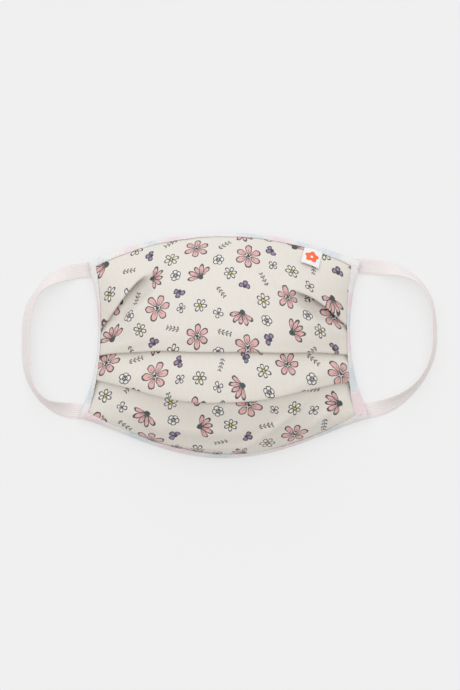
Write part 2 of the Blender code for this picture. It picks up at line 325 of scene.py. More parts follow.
def half_width(down):
    """Waist half width plus a flare that grows with the square of the distance from the waist."""
    above = np.clip(WAIST_AT - down, 0.0, None) / WAIST_AT
    below = np.clip(down - WAIST_AT, 0.0, None) / (1.0 - WAIST_AT)
    return WAIST_HALF_WIDTH + TOP_FLARE * above**2 + BOTTOM_FLARE * below**2


def edge_heights(across):
    """Top edge: its peak less a parabola. Bottom edge: its peak plus a fuller parabola."""
    top = TOP_PEAK - TOP_FALL * across**2
    fuller = BOTTOM_ROUND * (across**2 - across**4)
    return top, -BOTTOM_PEAK + BOTTOM_RISE * (across**2 + fuller)


def way_down(turn):
    """Cubic Bezier share of the way down, its inner control points set by the edges' slopes."""
    across_all = TOP_PEAK + BOTTOM_PEAK
    first = CROWN / math.tan(TOP_SLOPE) / across_all
    second = 1.0 - CROWN / math.tan(BOTTOM_SLOPE) / across_all
    rest = 1.0 - turn
    return 3 * rest**2 * turn * first + 3 * rest * turn**2 * second + turn**3


def dome(across, turn):
    """Cubic section 3 t (1 - t) whose height falls as 1 - |across|^2.5, less a bell for each dent."""
    across, turn = np.broadcast_arrays(np.asarray(across, float), np.asarray(turn, float))
    down = way_down(turn)
    top, bottom = edge_heights(across)
    x = across * half_width(down)
    y = top + (bottom - top) * down
    crown = CROWN * (1.0 - np.abs(across) ** DOME_FULLNESS)
    z = CORNER_HEIGHT + 3 * turn * (1.0 - turn) * crown
    z = z - RIM_SAG * (1.0 - across**2) + SIDE_LIFT * across**4 * np.sin(np.pi * turn)
    for at_across, at_turn, long, high, depth in DENTS:
        z = z - depth * bell(across - at_across, long) * bell(turn - at_turn, high)
    return np.stack((x + SHIFT, y, z), axis=-1)


def frame_on_dome(across, turn):
    """Point, directions down the cloth and to the right by central differences, and their normal."""
    step = 0.0005
    down = unit(dome(across, turn + step) - dome(across, turn - step))
    right = unit(dome(across + step, turn) - dome(across - step, turn))
    return dome(across, turn), down, right, unit(np.cross(down, right))


def arcs_of(points):
    """Running length along the last but one axis of an array of points."""
    steps = np.linalg.norm(np.diff(points, axis=-2), axis=-1)
    start = np.zeros(steps.shape[:-1] + (1,))
    return np.concatenate([start, np.cumsum(steps, axis=-1)], axis=-1)


def arcs_down(across):
    """Running length down the face at each place across, from the top edge to the bottom edge."""
    return arcs_of(dome(across[:, None], TURNS[None, :]))


def read_rows(known, values, at):
    """Linear interpolation row by row: `values` against each row of `known`, read at `at`."""
    low = (known[:, None, :] <= at[:, :, None]).sum(axis=2) - 1
    low = np.clip(low, 0, known.shape[1] - 2)
    first = np.take_along_axis(known, low, axis=1)
    share = (at - first) / (np.take_along_axis(known, low + 1, axis=1) - first)
    return values[low] + (values[low + 1] - values[low]) * share


def lay_down(across, arc, level):
    """Point at a distance down the cloth's face, plus level times the normal, straight on past an edge."""
    arcs = arcs_down(across)
    held = np.clip(arc, 0.0, arcs[:, -1:])
    point, down, _, normal = frame_on_dome(across[:, None], read_rows(arcs, TURNS, held))
    return point + down * (arc - held)[..., None] + normal * level[..., None]


def lay_in(side, turn, inward, level):
    """Point at a distance in from a side edge, plus level times the normal."""
    places = side * np.linspace(1.0, 0.75, FINE)
    arcs = arcs_of(dome(places[None, :], turn[:, None]))
    held = np.clip(inward, 0.0, arcs[:, -1:])
    point, _, right, normal = frame_on_dome(read_rows(arcs, places, held), turn[:, None])
    return point - side * right * (inward - held)[..., None] + normal * level[..., None]


def folds_at(across):
    """Distances down the face of the folds and of the bottom edge, and the depths folded under."""
    arcs = arcs_down(across)
    shares = np.stack([through(FOLD_LINES, column, across) for column in (1, 2, 3)], axis=1)
    at_turn = np.interp(shares, way_down(TURNS), TURNS)
    folds = read_rows(np.broadcast_to(TURNS, arcs.shape), np.arange(FINE, dtype=float), at_turn)
    low = np.clip(folds.astype(int), 0, FINE - 2)
    first = np.take_along_axis(arcs, low, axis=1)
    folds = first + (np.take_along_axis(arcs, low + 1, axis=1) - first) * (folds - low)
    weight = (np.abs(across) ** 1.8)[:, None]
    middle, side = np.array(PLEAT_DEPTHS).T
    return folds, arcs[:, -1], middle + (side - middle) * weight


def spread_out(count):
    """Places across the panel, a blend of even and sine spacing that is closer at the sides."""
    even = np.linspace(-1.0, 1.0, count)
    return 0.55 * even + 0.45 * np.sin(even * math.pi / 2)


def run(start, end, count, ends=False):
    """A layer from one (arc, level) to another: arc linear, level eased."""
    share = np.linspace(0.0, 1.0, count)
    share = share if ends else share[:-1]
    arcs = start[0][:, None] + (end[0] - start[0])[:, None] * share
    return arcs, start[1] + (end[1] - start[1]) * eased(share) + 0.0 * arcs


def turned(arc, level, way, pitch):
    """Half circle from one layer to the next one in, its flattened bulge down (1) or up (-1)."""
    angle = np.radians(np.linspace(72.0, -72.0, 7))
    arcs = arc[:, None] + way * 0.75 * pitch * np.cos(angle)
    return arcs, level - pitch / 2 + pitch / 2 * np.sin(angle) + 0.0 * arcs


def folded_cloth(across, pitch):
    """The folded cloth's (arc, level) from edge to edge: down to a fold, back up under it, down again."""
    folds, bottom, depths = folds_at(across)
    cover = np.full(len(across), EDGE_COVER)
    zero = np.zeros(len(across))
    reach = np.abs(across)
    tucked_from, open_by, flat_by = np.where(across < 0, *np.array(FIRST_PLEAT_OPENS)[:, :, None])
    tuck = eased((reach - open_by) / (tucked_from - open_by))[:, None]
    step = eased((reach - flat_by) / (open_by + 0.10 - flat_by))[:, None]
    depth, place, width = FIRST_DIP
    dip = depth * bell(reach - place, width)
    limits = (*(folds - depths - FOLD_REST).T[1:], bottom - 2 * EDGE_COVER)
    pieces = [run((zero, 0.0), (cover, 0.0), 5)]
    start = cover
    for number, fold in enumerate(folds.T):
        held, dropped = (np.ones_like(tuck), np.ones_like(tuck)) if number else (tuck, step)
        gap = OPEN_GAP * (1.0 - held[:, 0])
        inner = fold - depths[:, number]
        rise = fold + FOLD_REST
        layers = (
            turned(fold, 0.0, 1, pitch),
            run((fold, -pitch), (inner, -pitch), 9, True),
            turned(inner, -pitch, -1, pitch),
            run((inner, -2 * pitch), (rise, -2 * pitch), 9),
        )
        arcs, levels = (np.concatenate(part, axis=1) for part in zip(*layers))
        share = np.linspace(0.02, 0.98, arcs.shape[1])
        bridge = fold[:, None] + (rise - fold)[:, None] * share + 2 * OPEN_GAP * (share - 0.5)
        arcs = held * arcs + (1.0 - held) * bridge
        levels = held * levels - (1.0 - held) * dropped * 2 * pitch * eased(share)
        sink = (dip * (number == 0) + PLEAT_SINKS[number] * eased((0.97 - reach) / 0.2))[:, None]
        levels = levels - sink * eased(np.linspace(-0.6, 1.0, arcs.shape[1]))
        lowest = -2 * pitch * np.maximum(held, dropped) - sink
        pieces.append(run((start, 0.0), (fold - gap, 0.0), PLEAT_COLUMNS[number]))
        pieces.append((arcs, levels))
        start = np.minimum(rise + PLEAT_RETURNS[number], limits[number])
        pieces.append(run((rise + gap, lowest), (start, 0.0), 14))
    pieces.append(run((start, 0.0), (bottom - cover, 0.0), 16))
    pieces.append(run((bottom - cover, 0.0), (bottom, 0.0), 5, True))
    arcs, levels = (np.concatenate(part, axis=1) for part in zip(*pieces))
    for fold, roll in zip(folds.T, PLEAT_ROLLS):
        above = fold[:, None] - arcs
        near = bell(above, np.where(above > 0, ROLL_ABOVE, ROLL_BELOW))
        levels = levels - roll * near * eased((0.95 - reach) / 0.35)[:, None]
    return arcs, levels


def print_run(across, arc, level):
    """Running length of the folded path, the first pleat's part drawn up so that its print stays even."""
    steps = np.hypot(np.diff(arc, axis=1), np.diff(level, axis=1))
    part = slice(FIRST_PLEAT[0] - 1, FIRST_PLEAT[1])
    face = arc[:, FIRST_PLEAT[1]] - arc[:, FIRST_PLEAT[0] - 1]
    hidden = PRINT_HIDDEN * eased((np.abs(across) - 0.42) / 0.58)
    total = np.maximum(steps[:, part].sum(axis=1), 1e-9)
    steps[:, part] *= ((face + hidden) / total)[:, None]
    return np.concatenate([np.zeros((len(across), 1)), np.cumsum(steps, axis=1)], axis=1)


def soft_waves(across, share):
    """Height that the slack adds: slow sine waves, a long bell for each ridge, gathers at the sides."""
    height = np.zeros(np.broadcast(across, share).shape)
    for sideways, downward, phase, tall in WAVES:
        height = height + tall * np.sin(2 * np.pi * (sideways * across / 2 + downward * share) + phase)
    for at_across, at_share, turn, long, wide, tall in RIDGES:
        x = (across - at_across) * RIDGE_FIELD[0]
        y = (share - at_share) * RIDGE_FIELD[1]
        cosine, sine = turn_of(turn)
        along = x * cosine - y * sine
        aside = x * sine + y * cosine
        height = height + tall * bell(along, long) * bell(aside, wide)
    inset = 1.0 - np.abs(across)
    gathers = GATHER_HEIGHT * np.sin(2 * np.pi * (13.0 * share + 2.0 * np.sin(5.0 * share)))
    height = height + gathers * bell(inset, GATHER_REACH)
    near = np.minimum(inset / 0.10, np.minimum(share, 1.0 - share) / 0.07)
    return height * eased(near)


def chart_print(flat, faces, colours):
    """Each face's nearest motif, and its corners' places in that motif, turned and divided by its radius."""
    rows = []
    for column in range(-2, 2):
        for drop in range(-2, 5):
            for x, y, motif, turn, size in REPEAT_CHART:
                petals, centre, fan, wide, heart, line, radius, dye = MOTIFS[motif]
                place = (x + column * REPEAT, y + drop * REPEAT + (column % 2) * REPEAT / 2)
                spin = math.radians(turn + REPEAT_TURNS[0] * column + REPEAT_TURNS[1] * drop)
                radius = radius * size
                facts = (petals + 10 * centre, fan, wide, heart, *getattr(colours, dye), line / radius)
                rows.append((*place, spin, radius, *facts))
    rows = np.array(rows)
    middle = flat[faces].mean(axis=1)
    away = np.hypot(middle[:, :1] - rows[:, 0], middle[:, 1:] - rows[:, 1]) - rows[:, 3]
    mine = np.repeat(rows[away.argmin(axis=1)], 4, axis=0)
    x, y = (flat[faces.reshape(-1)] - mine[:, :2]).T
    spin, radius = mine[:, 2], mine[:, 3]
    local = np.stack((x * np.cos(spin) + y * np.sin(spin), y * np.cos(spin) - x * np.sin(spin)), axis=-1)
    maps = {"motif": local / radius[:, None]}
    for number, title in enumerate(("form", "shape", "dye_first", "dye_last")):
        maps[title] = mine[:, 4 + 2 * number : 6 + 2 * number]
    return maps


def faces_of(rows, columns, closed=False):
    """Corner numbers of the quads of a grid; a closed grid joins its last column to its first."""
    index = np.arange(rows * columns).reshape(rows, columns)
    if closed:
        index = np.concatenate([index, index[:, :1]], axis=1)
    corners = (index[:-1, :-1], index[:-1, 1:], index[1:, 1:], index[1:, :-1])
    return np.stack(corners, axis=-1).reshape(-1, 4)


def put(name, data):
    """A new object in the scene for a mesh, a lamp or a camera."""
    new = bpy.data.objects.new(name, data)
    bpy.context.scene.collection.objects.link(new)
    return new


def make_piece(name, points, faces, looks, slot, node=None, maps=None):
    """Put points and faces into a mesh object at the origin, with its UV maps, and tie it to the frame."""
    mesh = bpy.data.meshes.new(name)
    mesh.from_pydata(points.reshape(-1, 3).tolist(), [], faces.tolist())
    corners = faces.reshape(-1)
    for title, values in (maps or {}).items():
        layer = mesh.uv_layers.new(name=title)
        spread = values if len(values) == len(corners) else values[corners]
        layer.data.foreach_set("uv", np.ascontiguousarray(spread, dtype=np.float32).ravel())
    for look in looks:
        mesh.materials.append(look)
    mesh.shade_smooth()
    piece = put(name, mesh)
    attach(piece, "root")
    if node:
        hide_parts(node)
    return piece


def give_wall(piece, thickness, inside=0):
    """Solidify the sheet evenly about its middle, its inner face in the look that many slots further on."""
    wall = piece.modifiers.new("Cloth wall", "SOLIDIFY")
    wall.thickness = thickness
    wall.offset = 0.0
    wall.use_even_offset = True
    wall.material_offset = inside


def tape_level(sizes):
    """Height of the tape's middle over the middle of the cloth."""
    return sizes.cloth_wall / 2 + sizes.tape_gap + sizes.tape_wall / 2


def edge_covers(at_top, across):
    """How far the top or the bottom tape covers the cloth."""
    return np.full(len(across), EDGE_COVER) if at_top else through(BOTTOM_COVERS, 1, across)


def side_covers(side, share):
    """How far a side tape covers the cloth."""
    return np.interp(share, *np.array(SIDE_COVERS).T[[0, 1 if side < 0 else 2]])


def tape_round(cover, depth, level, wall):
    """Folded tape's (distance in, level): out over the face, half an oval round the edge, back behind."""
    inner = (-depth - level)[:, None]
    angle = np.radians(np.linspace(90.0, -90.0, 11))
    share = np.linspace(0.0, 1.0, 9)[:-1]
    outer = cover[:, None] * (1.0 - share)
    bend = -(TAPE_OVERRUN - wall / 2) * np.cos(angle) + 0.0 * inner
    back = np.maximum(cover, TAPE_BACK)[:, None] * share[1:]
    over = level + TAPE_PUFF * np.sin(np.pi * share) + 0.0 * outer
    rim = (level + inner) / 2 + (level - inner) / 2 * np.sin(angle)
    behind = inner + 0.0 * back
    return np.concatenate([outer, bend, back], axis=1), np.concatenate([over, rim, behind], axis=1)


def edge_tape_points(at_top, sizes, level, count=150):
    """The tape's round carried along the top or bottom edge, with a slight waver, past both sides."""
    across = spread_out(count)
    cover = edge_covers(at_top, across)
    cover = cover * (1.0 + 0.05 * np.sin(across * 17.0 + at_top) + 0.03 * np.sin(across * 41.0))
    inward, heights = tape_round(cover, np.zeros(count), level, sizes.tape_wall)
    heights = heights + 0.00005 * np.sin(across * 95.0)[:, None] * np.sign(heights)
    arcs = arcs_down(across)
    points = lay_down(across, inward if at_top else arcs[:, -1:] - inward, heights)
    first = points[:1] + TAPE_OVERRUN * unit(points[:1] - points[1:2])
    last = points[-1:] + TAPE_OVERRUN * unit(points[-1:] - points[-2:-1])
    points = np.concatenate([first, points, last])
    return points if at_top else points[::-1]


def side_tape_points(side, sizes, level, count=110):
    """The tape's round carried down a side edge, between the top and the bottom tape."""
    arcs = arcs_of(dome(side, TURNS))
    along = np.linspace(EDGE_COVER * 0.55, arcs[-1] - EDGE_COVER * 0.55, count)
    folds, bottom, depths = (rows[0] for rows in folds_at(np.array([1.0])))
    begin = eased((along - folds[0] + depths[0] + 0.011) / 0.005)
    last = folds[2] + 0.003
    end = 1.0 - eased((along - last) / (bottom - 0.010 - last))
    depth = 2 * sizes.layer_pitch * np.minimum(begin, end)
    cover = side_covers(side, along / arcs[-1])
    cover = cover + 0.00012 * np.sin(along * 900.0) + 0.0001 * np.sin(along * 2300.0)
    inward, heights = tape_round(cover, depth, level, sizes.tape_wall)
    points = lay_in(side, np.interp(along, arcs, TURNS), inward, heights)
    return points if side < 0 else points[::-1]


def tape_maps(points):
    """UV map in metres: running length along the tape and across it."""
    along = arcs_of(points.swapaxes(0, 1)).swapaxes(0, 1)
    return {"run": np.stack((along, arcs_of(points)), axis=-1).reshape(-1, 2)}


def loop_line(side, reach, square_above, square_below, lift):
    """Middle line from above: two quarter superellipses from root to root, meeting at the far side."""
    top, bottom = edge_heights(1.0)
    flush = TAPE_OVERRUN - LOOP_HALF_WIDTH
    quarter = np.linspace(0.0, math.pi / 2, FINE)
    halves = []
    roots = ((top + flush + lift, 0.0, square_above), (bottom - flush, 1.0, square_below))
    for height, down, square in roots:
        root = half_width(np.array(down)) - LOOP_TUCK
        out = root + (reach - root) * np.sin(quarter) ** (2 / square)
        up = LOOP_MIDDLE + (height - LOOP_MIDDLE) * np.cos(quarter) ** (2 / square)
        halves.append(np.stack((side * out + SHIFT, up), axis=1))
    return np.concatenate([halves[0], halves[1][-2::-1]])


def loop_points(number, sizes, level):
    """A rounded, ribbed oblong carried along the loop's line, turned on edge and cupped by the tables."""
    line = loop_line(*LOOPS[number])
    arcs = arcs_of(line)
    share = np.linspace(0.0, 1.0, 230)
    place = np.stack([np.interp(share * arcs[-1], arcs, line[:, axis]) for axis in (0, 1)], axis=1)
    heading = unit(np.gradient(place, axis=0))
    outward = LOOPS[number][0] * np.stack((-heading[:, 1], heading[:, 0]), axis=1)
    known, *turns = np.array(LOOP_TURNS, float).T
    turn = np.radians(np.interp(share, known, turns[number]))
    for _ in range(3):
        turn[2:-2] = (turn[:-4] + turn[1:-3] + turn[2:-2] + turn[3:-1] + turn[4:]) / 5
    cosine, sine = np.cos(turn)[:, None], np.sin(turn)[:, None]
    rise = (sizes.loop_width / 2 + HAIR) * sine + sizes.loop_wall / 2 * cosine
    tucked = CORNER_HEIGHT - level - sizes.tape_wall / 2 - HAIR - sizes.loop_wall
    rise = rise + tucked * (1.0 - eased(np.minimum(share, 1.0 - share) / LOOP_ROOT))[:, None]
    angle = np.linspace(0.0, 2 * np.pi, 45)[:-1]
    wide = np.sign(np.cos(angle)) * np.abs(np.cos(angle)) ** 0.35
    thick = np.sign(np.sin(angle)) * np.abs(np.sin(angle)) ** 0.6
    ribs = 1.0 + 0.06 * np.cos(wide * 5.5 * np.pi)
    offset = wide * sizes.loop_width / 2
    depth, at_share, long = LOOP_CUPS[number]
    cup = depth * bell(share - at_share, long)[:, None]
    lift = thick * sizes.loop_wall / 2 * ribs - cup * (1.0 - np.abs(wide)) * sine
    flat = place[:, None, :] + outward[:, None, :] * (offset * cosine + lift * sine)[..., None]
    points = np.concatenate([flat, (rise - offset * sine + lift * cosine)[..., None]], axis=-1)
    middle = np.repeat(points.mean(axis=1, keepdims=True), len(angle), axis=1)
    points = np.concatenate([middle[:1], points, middle[-1:]])
    along = arcs_of(points.mean(axis=1))
    run_map = np.stack(np.broadcast_arrays(along[:, None], offset[None, :] + LOOP_HALF_WIDTH), axis=-1)
    return points, run_map.reshape(-1, 2)


def label_points(sizes, level):
    """The tab laid on the panel below the top tape, its lower end lifting a little."""
    corner = float(half_width(np.array(0.0)))
    share = np.linspace(0.0, 1.0, LABEL_GRID)
    sideways, share = np.meshgrid(share - 0.5, share, indexing="ij")
    drop = sizes.label_drop + LABEL_TUCK
    across = LABEL_AT + (sideways * sizes.label_width - LABEL_SLANT * share) / corner
    arc = LABEL_START + drop * share
    curl = LABEL_CURL * share**3 * (1.0 + 0.5 * sideways)
    lift = level + LABEL_WALL + curl + 0.0002 * np.cos(sideways * 5.0)
    local = np.stack((sideways * sizes.label_width, (0.5 - share) * drop), axis=-1)
    return lay_down(across.ravel(), arc.reshape(-1, 1), lift.reshape(-1, 1)), local.reshape(-1, 2)


def stitch_row(lay, middle, top):
    """Both ends of each stitch, a share of the spacing from its middle, and the cloth's normals there."""
    reach = STITCH_REACH * (middle[1] - middle[0])
    normals = unit(lay(middle, 0.001) - lay(middle, 0.0))
    return lay(middle - reach, top), lay(middle + reach, top), normals


def edge_stitches(at_top, spacing, top):
    """A row of stitches just inside the rim of the top or the bottom tape."""
    middle = np.linspace(-SEAM_REACH, SEAM_REACH, int(SEAM_LENGTH / spacing))
    inset = edge_covers(at_top, middle)[:, None] - EDGE_INSET
    arc = inset if at_top else arcs_down(middle)[:, -1:] - inset
    return stitch_row(lambda place, level: lay_down(place, arc, np.full_like(arc, level))[:, 0], middle, top)


def side_stitches(side, spacing, top):
    """A row of stitches just inside the rim of a side tape."""
    arcs = arcs_of(dome(side, TURNS))
    middle = np.linspace(SEAM_END, arcs[-1] - SEAM_END, int((arcs[-1] - 2 * SEAM_END) / spacing))
    inward = (side_covers(side, middle / arcs[-1]) - SIDE_INSET)[:, None]

    def lay(place, level):
        return lay_in(side, np.interp(place, arcs, TURNS), inward, np.full_like(inward, level))[:, 0]

    return stitch_row(lay, middle, top)


def tack_ends(top):
    """Three short stitches beside each other at each tacked corner, on the face found by nearest place."""
    across, arc = np.meshgrid(np.linspace(-1.0, 1.0, 161), np.linspace(0.0, 0.100, 161), indexing="ij")
    face = lay_down(across[:, 0], arc, np.full(arc.shape, top))
    starts, ends = [], []
    for x, y, turn in TACKS:
        way = np.array(turn_of(turn))
        for row in (-1, 0, 1):
            middle = np.array([x, y]) + row * TACK_PITCH * np.array([-way[1], way[0]])
            for held, sign in ((starts, -1), (ends, 1)):
                place = middle + sign * TACK_HALF * way * (1.0 - 0.15 * row)
                nearest = np.hypot(face[..., 0] - place[0], face[..., 1] - place[1]).argmin()
                held.append([*place, face.reshape(-1, 3)[nearest, 2] - STITCH_DIP])
    return np.array(starts), np.array(ends), np.tile([0.0, 0.0, 1.0], (len(starts), 1))


def thread_points(starts, ends, normals, radius):
    """Stitches: each a tube of seven rings of six points that dips into the cloth at both ends."""
    share = np.linspace(0.0, 1.0, 7)
    angle = np.linspace(0.0, 2 * np.pi, 7)[:-1]
    side = unit(np.cross(unit(ends - starts), normals))
    arch = (np.sin(np.pi * share) * 1.6 - 0.7) * radius
    thin = 0.35 + 0.65 * np.sqrt(np.sin(np.pi * share))
    centre = starts[:, None] + (ends - starts)[:, None] * share[:, None] + normals[:, None] * arch[:, None]
    ring = side[:, None, None] * np.cos(angle)[:, None] + normals[:, None, None] * np.sin(angle)[:, None]
    points = centre[:, :, None] + ring * (thin[:, None] * radius)[..., None]
    quads = faces_of(7, 6, closed=True)[:, [0, 3, 2, 1]]
    faces = quads[None] + (np.arange(len(starts)) * 42)[:, None, None]
    return points.reshape(-1, 3), faces.reshape(-1, 4)


class Dyer:
    """Short calls for the nodes of one material, each giving back the socket it ends in."""

    def __init__(self, name, roughness, sheen):
        self.material = bpy.data.materials.new(name)
        self.material.use_nodes = True
        self.tree = self.material.node_tree
        self.shader = self.tree.nodes["Principled BSDF"]
        self.shader.inputs["Roughness"].default_value = roughness
        self.shader.inputs["Sheen Weight"].default_value = sheen
        self.shader.inputs["Specular IOR Level"].default_value = 0.25

    def plug(self, socket, value):
        if isinstance(value, bpy.types.NodeSocket):
            self.tree.links.new(value, socket)
        elif value is not None:
            socket.default_value = value

    def add(self, kind, inputs=(), out=0, **settings):
        new = self.tree.nodes.new("ShaderNode" + kind)
        for title, value in settings.items():
            setattr(new, title, value)
        for place, value in dict(inputs).items():
            self.plug(new.inputs[place], value)
        return new.outputs[out]

    def sum(self, operation, *values):
        return self.add("Math", enumerate(values), operation=operation)

    def plus(self, first, second):
        return self.sum("ADD", first, second)

    def less(self, first, second):
        return self.sum("SUBTRACT", first, second)

    def times(self, first, second):
        return self.sum("MULTIPLY", first, second)

    def over(self, first, second):
        return self.sum("DIVIDE", first, second)

    def fit(self, value, factor, shift):
        return self.sum("MULTIPLY_ADD", value, factor, shift)

    def size(self, value):
        return self.sum("ABSOLUTE", value)

    def above(self, value, limit):
        return self.sum("GREATER_THAN", value, limit)

    def most(self, *values):
        return reduce(lambda first, second: self.sum("MAXIMUM", first, second), values)

    def length(self, x, y):
        """Square root of x squared plus y squared."""
        return self.sum("SQRT", self.plus(self.times(x, x), self.times(y, y)))

    def step(self, value, low, high):
        """Smooth step from 0 at low to 1 at high."""
        inputs = {"Value": value, "From Min": low, "From Max": high}
        return self.add("MapRange", inputs, interpolation_type="SMOOTHSTEP")

    def mix(self, share, first, second, how="MIX"):
        return self.add("Mix", {0: share, 6: first, 7: second}, 2, data_type="RGBA", blend_type=how)

    def tones(self, share, colour, low, high):
        """From one strength of a colour to another."""
        return self.mix(share, shade(colour, low), shade(colour, high))

    def noise(self, vector, scale, detail=2.0, roughness=0.5):
        inputs = {"Vector": vector, "Scale": scale, "Detail": detail, "Roughness": roughness}
        return self.add("TexNoise", inputs)

    def map_of(self, title):
        return self.add("UVMap", uv_map=title)

    def object_place(self):
        return self.add("TexCoord", out=3)

    def scaled(self, place, *scale):
        return self.add("Mapping", {0: place, 3: scale})

    def parts(self, vector):
        """First two parts of a vector."""
        return self.add("SeparateXYZ", {0: vector}).node.outputs[:2]

    def finish(self, colour, roughness=None, height=None, distance=0.0, strength=1.0):
        """Plug in the colour and the roughness, and a bump for the height where there is one."""
        self.plug(self.shader.inputs["Base Color"], colour)
        self.plug(self.shader.inputs["Roughness"], roughness)
        if height is not None:
            inputs = {"Height": height, "Distance": distance, "Strength": strength}
            self.plug(self.shader.inputs["Normal"], self.add("Bump", inputs))
        return self.material


def shade(colour, times=1.0):
    """Colour as four numbers, made lighter or darker."""
    return tuple(min(1.0, part * times) for part in colour) + (1.0,)


def plain_weave(dyer, place, period):
    """Crossed sine ridges at the yarns' spacing, from a map in metres."""
    turns = 2 * math.pi / period
    first, second = (dyer.sum("SINE", dyer.times(part, turns)) for part in dyer.parts(place))
    return dyer.fit(dyer.times(first, second), 0.5, 0.5)


def draw_print(dyer, place, ground, colours):
    """Rosettes of oval petals in polar sectors with a round centre, and sprigs of slanted leaf pairs."""
    plus, less, times, over, fit, size = dyer.plus, dyer.less, dyer.times, dyer.over, dyer.fit, dyer.size

    def below(value, limit, soft=0.012):
        return dyer.step(less(value, limit), soft, -soft)

    # The motif's own place, shaken a little so that no line is quite straight
    x, y = dyer.parts(dyer.map_of("motif"))
    code, fan = dyer.parts(dyer.map_of("form"))
    wide, heart = dyer.parts(dyer.map_of("shape"))
    red, green = dyer.parts(dyer.map_of("dye_first"))
    blue, line = dyer.parts(dyer.map_of("dye_last"))
    moved = dyer.add("Mapping", {0: place, 1: (0.4, 0.9, 0.0)})
    x = plus(x, fit(dyer.noise(place, 420.0), 0.16, -0.08))
    y = plus(y, fit(dyer.noise(moved, 420.0), 0.16, -0.08))
    middle = dyer.sum("FLOOR", over(code, 9.99))
    petals = less(code, times(middle, 10.0))

    # Petals: an oval along the middle of each sector, wider at its tip, of slightly uneven length
    away = dyer.length(x, y)
    around = over(over(dyer.sum("ARCTAN2", y, x), 2 * math.pi), fan)
    sector = plus(times(around, petals), times(petals, 0.5))
    half = less(dyer.sum("FRACT", sector), 0.5)
    angle = times(over(times(half, fan), dyer.most(petals, 1.0)), 2 * math.pi)
    along = times(away, dyer.sum("COSINE", angle))
    aside = times(away, dyer.sum("SINE", angle))
    reach = fit(dyer.sum("SINE", times(dyer.sum("FLOOR", sector), 2.4)), 0.055, 0.38)
    oval_x = over(less(along, 0.57), reach)
    oval_y = over(aside, times(wide, fit(along, 0.75, 0.50)))
    edge = times(less(dyer.length(oval_x, oval_y), 1.0), fit(wide, 0.75, 0.06))
    flower = dyer.above(petals, 0.5)
    shown = times(dyer.sum("LESS_THAN", size(around), 0.5), flower)
    petal = times(below(edge, 0.0), shown)
    outline = times(below(size(edge), line), shown)
    vein = times(below(size(aside), times(line, 0.4)), below(size(less(along, 0.42)), 0.16))
    vein = times(vein, times(shown, dyer.sum("LESS_THAN", wide, 0.24)))

    # Centre: a disc, ringed unless it is yellow, and an eye in the white one
    core = times(below(away, heart), flower)
    ring = times(below(size(less(away, heart)), line), flower)
    ring = times(ring, dyer.above(size(less(middle, 1.0)), 0.5))
    eye = times(below(size(less(away, times(heart, 0.45))), line), dyer.above(middle, 2.5))

    # Sprig: slanted ovals in pairs along a stem
    pairs = less(dyer.sum("FRACT", times(plus(x, 1.0), 1.9)), 0.5)
    slide = fit(pairs, 0.53, -0.02)
    out = less(size(y), 0.21)
    cosine, sine = turn_of(38)
    leaf_x = over(plus(times(slide, cosine), times(out, sine)), 0.20)
    leaf_y = over(less(times(out, cosine), times(slide, sine)), 0.085)
    leaf = times(below(dyer.length(leaf_x, leaf_y), 1.0, 0.12), below(size(x), 0.93))
    stem = times(below(size(y), times(line, 0.8)), below(size(x), 0.95))
    sprig = times(dyer.most(leaf, stem), less(1.0, flower))

    # Colours: dye thinned in patches and darker near the centre, then the centre, then the ink
    patchy = dyer.noise(place, 2200.0)
    dye = dyer.add("CombineColor", {0: red, 1: green, 2: blue})
    dye = dyer.mix(dyer.step(along, 0.75, 0.15), dye, dyer.mix(1.0, dye, (0.86, 0.80, 0.80, 1.0), "MULTIPLY"))
    dye = dyer.mix(times(patchy, 0.22), dye, ground)
    hearts = shade(getattr(colours, HEARTS[0]))
    for number, title in enumerate(HEARTS[1:]):
        hearts = dyer.mix(dyer.above(middle, number + 0.5), hearts, shade(getattr(colours, title)))
    ink = dyer.mix(times(patchy, 0.14), shade(colours.ink), ground)
    colour = dyer.mix(core, dyer.mix(petal, ground, dye), hearts)
    return dyer.mix(dyer.most(outline, vein, ring, eye, sprig), colour, ink)


def cotton_material(colours, printed):
    """Cream cotton: plain weave, slubs and slow changes of tone, with the print on its face."""
    dyer = Dyer("printed_cotton" if printed else "plain_cotton", 0.92, 0.15)
    place = dyer.map_of("flat")
    weave = plain_weave(dyer, place, 0.00052)
    slub = dyer.noise(dyer.scaled(place, 900.0, 160.0, 1.0), 1.0, 3.0, 0.6)
    cream = dyer.tones(dyer.noise(place, 30.0), colours.cream, 0.97, 1.02)
    cream = dyer.mix(dyer.step(slub, 0.35, 0.75), cream, shade(colours.cream, 0.955))
    if printed:
        cream = draw_print(dyer, place, cream, colours)
    return dyer.finish(cream, dyer.step(slub, -0.6, 2.2), dyer.fit(slub, 0.8, weave), 0.00006, 0.55)


